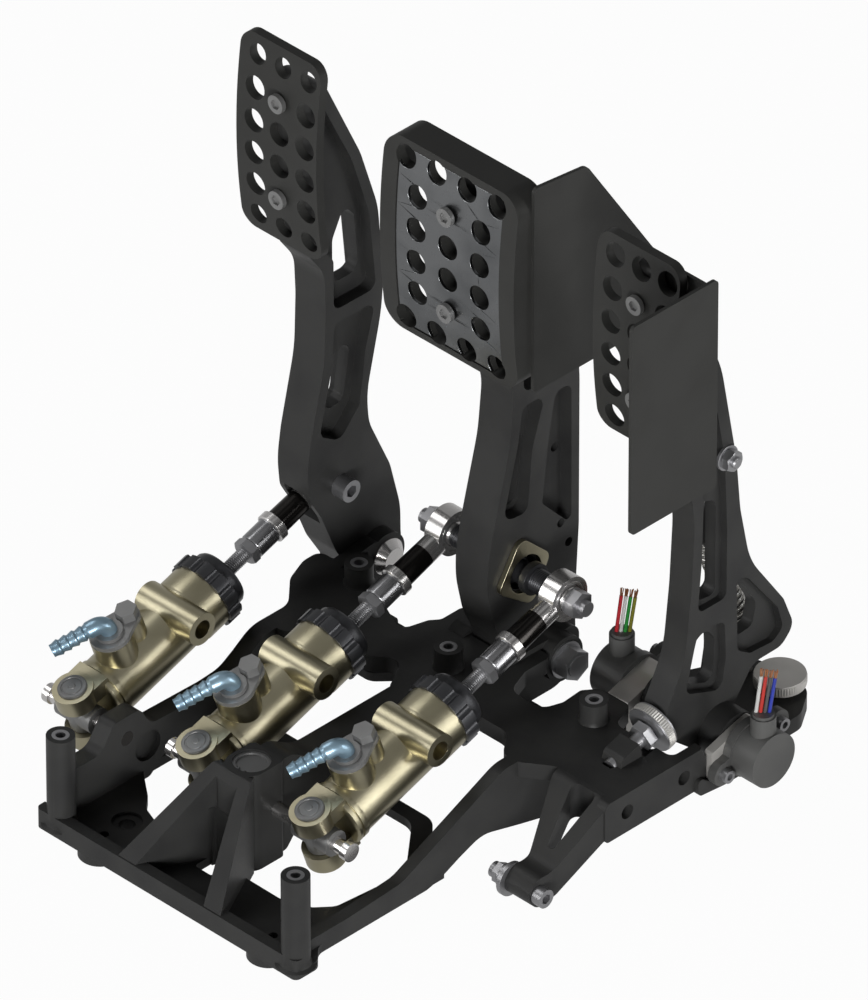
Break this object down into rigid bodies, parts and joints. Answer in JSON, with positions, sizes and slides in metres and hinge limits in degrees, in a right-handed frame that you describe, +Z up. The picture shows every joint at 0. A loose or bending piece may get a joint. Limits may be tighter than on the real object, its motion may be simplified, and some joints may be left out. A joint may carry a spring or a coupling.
{
  "type": "pedal box",
  "caption": "Floor-mounted racing pedal box: clutch, brake with balance bar, throttle, and pull-rod master cylinders on a machined base.",
  "frame": {"origin": "centre of the four base bolts, on the underside of the feet", "axes": "+X to the driver's right, +Y forward, the way the pedals are pressed, +Z up along the base bolts"},
  "size_m": [0.302, 0.3222, 0.357],
  "materials": {
    "black_anodised": "black hard-anodised, finely machined",
    "black_satin": "satin black",
    "gold_anodised": "champagne-gold anodised",
    "black_oxide": "black oxide",
    "bright_steel": "bright ground",
    "chrome_plate": "polished",
    "zinc_blue": "blue zinc passivated",
    "grey_steel": "grey phosphate",
    "pale_aluminium": "brushed",
    "dark_plate": "brushed, dark anodised",
    "sensor_plastic": "moulded",
    "lead_colours": "coloured insulation over bare copper ends",
    "spring_nickel": "nickel plated"
  },
  "bodies": {
    "base": {"base_frame": "black_anodised", "post_inserts": "bright_steel", "pillar_plug": "grey_steel", "cylinder_spindles": "chrome_plate", "leg_screw": "bright_steel", "clutch_pivot_bolt": "chrome_plate", "brake_pivot_bolt": "bright_steel", "bearing_blocks": "pale_aluminium", "sensor_bodies": "sensor_plastic", "sensor_screws": "bright_steel", "sensor_leads": "lead_colours", "front_stop_screw": "bright_steel", "rear_stop_screw": "pale_aluminium"},
    "spring_unit": {"spring_seat": "pale_aluminium", "return_spring": "spring_nickel"},
    "clutch_pedal": {"clutch_arm": "black_anodised", "clutch_pad": "black_satin", "clutch_pad_screws": "grey_steel", "clutch_clevis_screw": "bright_steel"},
    "brake_pedal": {"brake_arm": "black_anodised", "brake_pad_frame": "black_satin", "brake_pad_plate": "dark_plate", "brake_pad_screws": "grey_steel", "brake_guard": "black_satin", "bearing_retainer": "gold_anodised", "balance_bearing": "black_oxide"},
    "balance": {"balance_bar": "black_oxide", "balance_bolts": "bright_steel", "balance_balls": "chrome_plate"},
    "left_race": {"brake_left_race": "chrome_plate"},
    "right_race": {"brake_right_race": "chrome_plate"},
    "throttle_pedal": {"throttle_arm": "black_anodised", "throttle_pad": "black_satin", "throttle_pad_screws": "grey_steel", "throttle_guard": "black_satin", "throttle_shaft": "bright_steel"},
    "clutch_plunger": {"clutch_rod": "bright_steel", "clutch_rod_end": "bright_steel", "clutch_piston": "grey_steel"},
    "clutch_master": {"clutch_cylinder": "gold_anodised", "clutch_gland": "black_oxide", "clutch_cross": "grey_steel", "clutch_inlet_plate": "grey_steel", "clutch_inlet_elbow": "zinc_blue"},
    "brake_left_plunger": {"brake_left_rod": "bright_steel", "brake_left_rod_end": "bright_steel", "brake_left_piston": "grey_steel"},
    "brake_left_master": {"brake_left_cylinder": "gold_anodised", "brake_left_gland": "black_oxide", "brake_left_cross": "grey_steel", "brake_left_inlet_plate": "grey_steel", "brake_left_inlet_elbow": "zinc_blue"},
    "brake_right_plunger": {"brake_right_rod": "bright_steel", "brake_right_rod_end": "bright_steel", "brake_right_piston": "grey_steel"},
    "brake_right_master": {"brake_right_cylinder": "gold_anodised", "brake_right_gland": "black_oxide", "brake_right_cross": "grey_steel", "brake_right_inlet_plate": "grey_steel", "brake_right_inlet_elbow": "zinc_blue"}
  },
  "joints": [
    {"name": "clutch_press", "type": "hinge", "parent": "base", "child": "clutch_pedal", "pos_m": [-0.1141, 0.1151, 0.0416], "axis": [-1, 0, 0], "range_deg": [0, 16]},
    {"name": "brake_press", "type": "hinge", "parent": "base", "child": "brake_pedal", "pos_m": [0, 0.1151, 0.0416], "axis": [-1, 0, 0], "range_deg": [0, 12]},
    {"name": "throttle_press", "type": "hinge", "parent": "base", "child": "throttle_pedal", "pos_m": [0.113, 0.1276, 0.0406], "axis": [-1, 0, 0], "range_deg": [0, 25], "stiffness_Nm_per_rad": 3, "springref_deg": -11.46},
    {"name": "balance_tilt", "type": "hinge", "parent": "brake_pedal", "child": "balance", "pos_m": [0, 0.102, 0.0921], "axis": [0, -0.3206, 0.9472], "range_deg": [-2, 2]},
    {"name": "spring_swing", "type": "hinge", "parent": "base", "child": "spring_unit", "pos_m": [0.092, 0.17534, 0.0593], "axis": [-1, 0, 0], "range_deg": [-0.5, 30.2], "deforming": ["return_spring"]},
    {"name": "left_race_yaw", "type": "hinge", "parent": "balance", "child": "left_race", "pos_m": [-0.0391, 0.102, 0.0921], "axis": [0, -0.3206, 0.9472], "range_deg": [-2.5, 2.5]},
    {"name": "right_race_yaw", "type": "hinge", "parent": "balance", "child": "right_race", "pos_m": [0.0391, 0.102, 0.0921], "axis": [0, -0.3206, 0.9472], "range_deg": [-2.5, 2.5]},
    {"name": "clutch_rod_swing", "type": "hinge", "parent": "clutch_pedal", "child": "clutch_plunger", "pos_m": [-0.1141, 0.0911, 0.0921], "axis": [-1, 0, 0], "range_deg": [-16.52, 0.5]},
    {"name": "clutch_cylinder_swing", "type": "hinge", "parent": "base", "child": "clutch_master", "pos_m": [-0.1141, -0.07656, 0.03535], "axis": [-1, 0, 0], "range_deg": [-0.5, 0.52]},
    {"name": "brake_left_rod_swing", "type": "hinge", "parent": "left_race", "child": "brake_left_plunger", "pos_m": [-0.0391, 0.102, 0.0921], "axis": [-1, 0, 0], "range_deg": [-11.97, 0.5]},
    {"name": "brake_left_cylinder_swing", "type": "hinge", "parent": "base", "child": "brake_left_master", "pos_m": [-0.0391, -0.06566, 0.03535], "axis": [-1, 0, 0], "range_deg": [-0.5, 1.05]},
    {"name": "brake_right_rod_swing", "type": "hinge", "parent": "right_race", "child": "brake_right_plunger", "pos_m": [0.0391, 0.102, 0.0921], "axis": [-1, 0, 0], "range_deg": [-11.97, 0.5]},
    {"name": "brake_right_cylinder_swing", "type": "hinge", "parent": "base", "child": "brake_right_master", "pos_m": [0.0391, -0.06566, 0.03535], "axis": [-1, 0, 0], "range_deg": [-0.5, 1.05]}
  ],
  "couplings": [
    {"joint": "spring_swing", "follows": "throttle_press", "ratio": 1.188},
    {"joint": "left_race_yaw", "follows": "balance_tilt", "ratio": -1},
    {"joint": "right_race_yaw", "follows": "balance_tilt", "ratio": -1},
    {"joint": "clutch_rod_swing", "follows": "clutch_press", "ratio": -1.001},
    {"joint": "clutch_cylinder_swing", "follows": "clutch_press", "ratio": 0.001},
    {"joint": "brake_left_rod_swing", "follows": "brake_press", "ratio": -0.956},
    {"joint": "brake_left_cylinder_swing", "follows": "brake_press", "ratio": 0.046},
    {"joint": "brake_right_rod_swing", "follows": "brake_press", "ratio": -0.956},
    {"joint": "brake_right_cylinder_swing", "follows": "brake_press", "ratio": 0.046}
  ]
}
